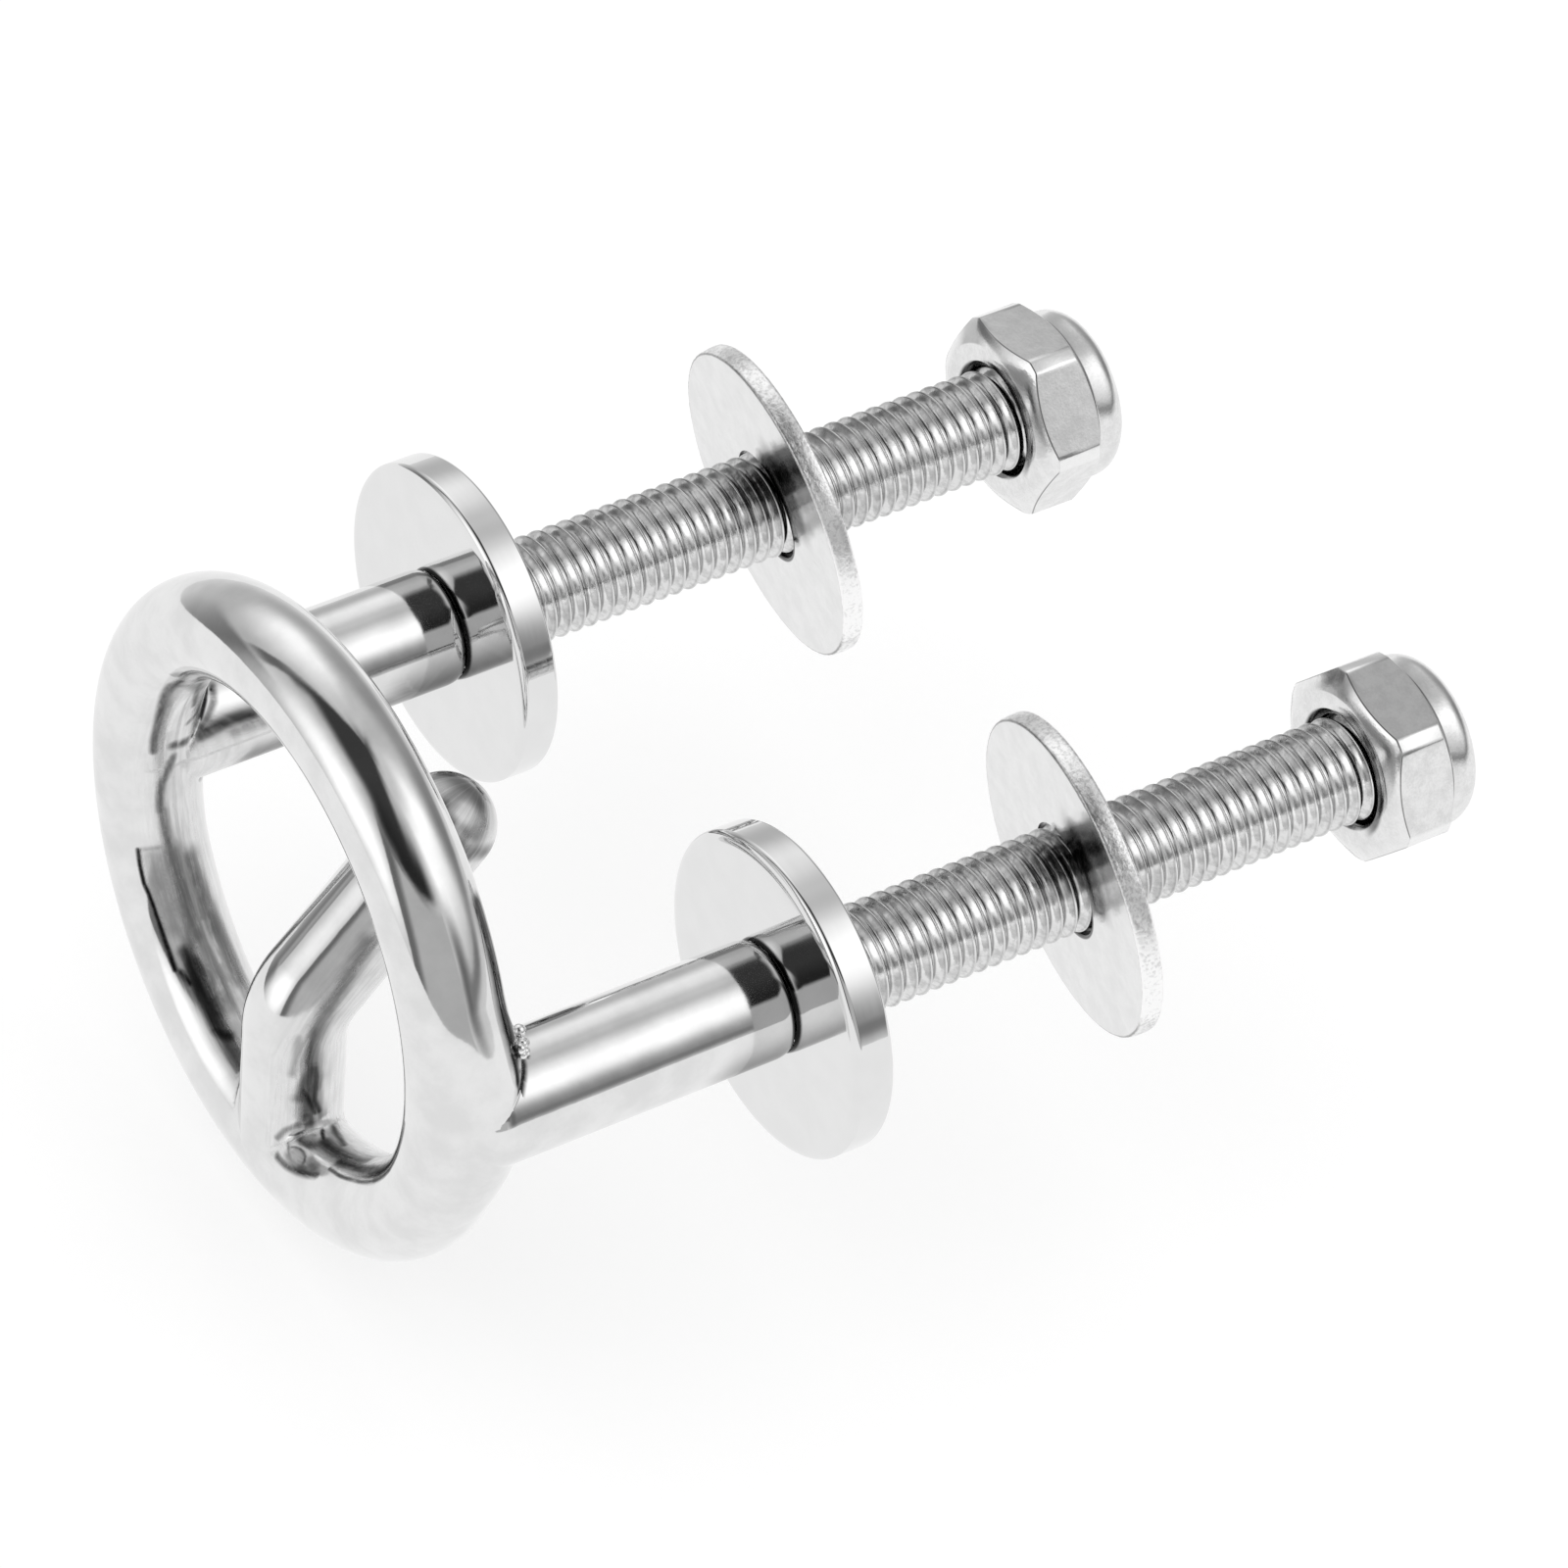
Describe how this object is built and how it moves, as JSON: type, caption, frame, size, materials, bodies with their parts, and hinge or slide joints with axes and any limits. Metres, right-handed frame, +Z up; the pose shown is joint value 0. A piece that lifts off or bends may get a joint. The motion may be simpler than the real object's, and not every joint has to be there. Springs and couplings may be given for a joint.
{
  "type": "water ski hook",
  "caption": "Transom tow hook: round bar ring with a bent hook bar inside it, on two threaded studs with cover washers, backing washers and lock nuts.",
  "frame": {"origin": "midway between the two stud axes, on the transom's outer face where the cover washers seat", "axes": "+X from the left stud to the right stud, +Y along the studs from the ring to the nuts, +Z up as installed, so the hook bar opens upwards"},
  "size_m": [0.0844, 0.105, 0.0622],
  "materials": {
    "polished_steel": "mirror-polished stainless steel, ground satin where the hook bar meets the ring",
    "cover_steel": "polished stainless steel",
    "washer_steel": "punched and tumbled stainless steel, satin",
    "nut_steel": "cold-formed stainless steel, satin flats and bright collar",
    "nylon": "moulded nylon, off-white"
  },
  "bodies": {
    "root": {"tow_hook": "polished_steel", "cover_washer_left": "cover_steel", "backing_washer_left": "washer_steel", "lock_nut_left": "nut_steel", "nylon_insert_left": "nylon", "cover_washer_right": "cover_steel", "backing_washer_right": "washer_steel", "lock_nut_right": "nut_steel", "nylon_insert_right": "nylon"}
  },
  "joints": []
}
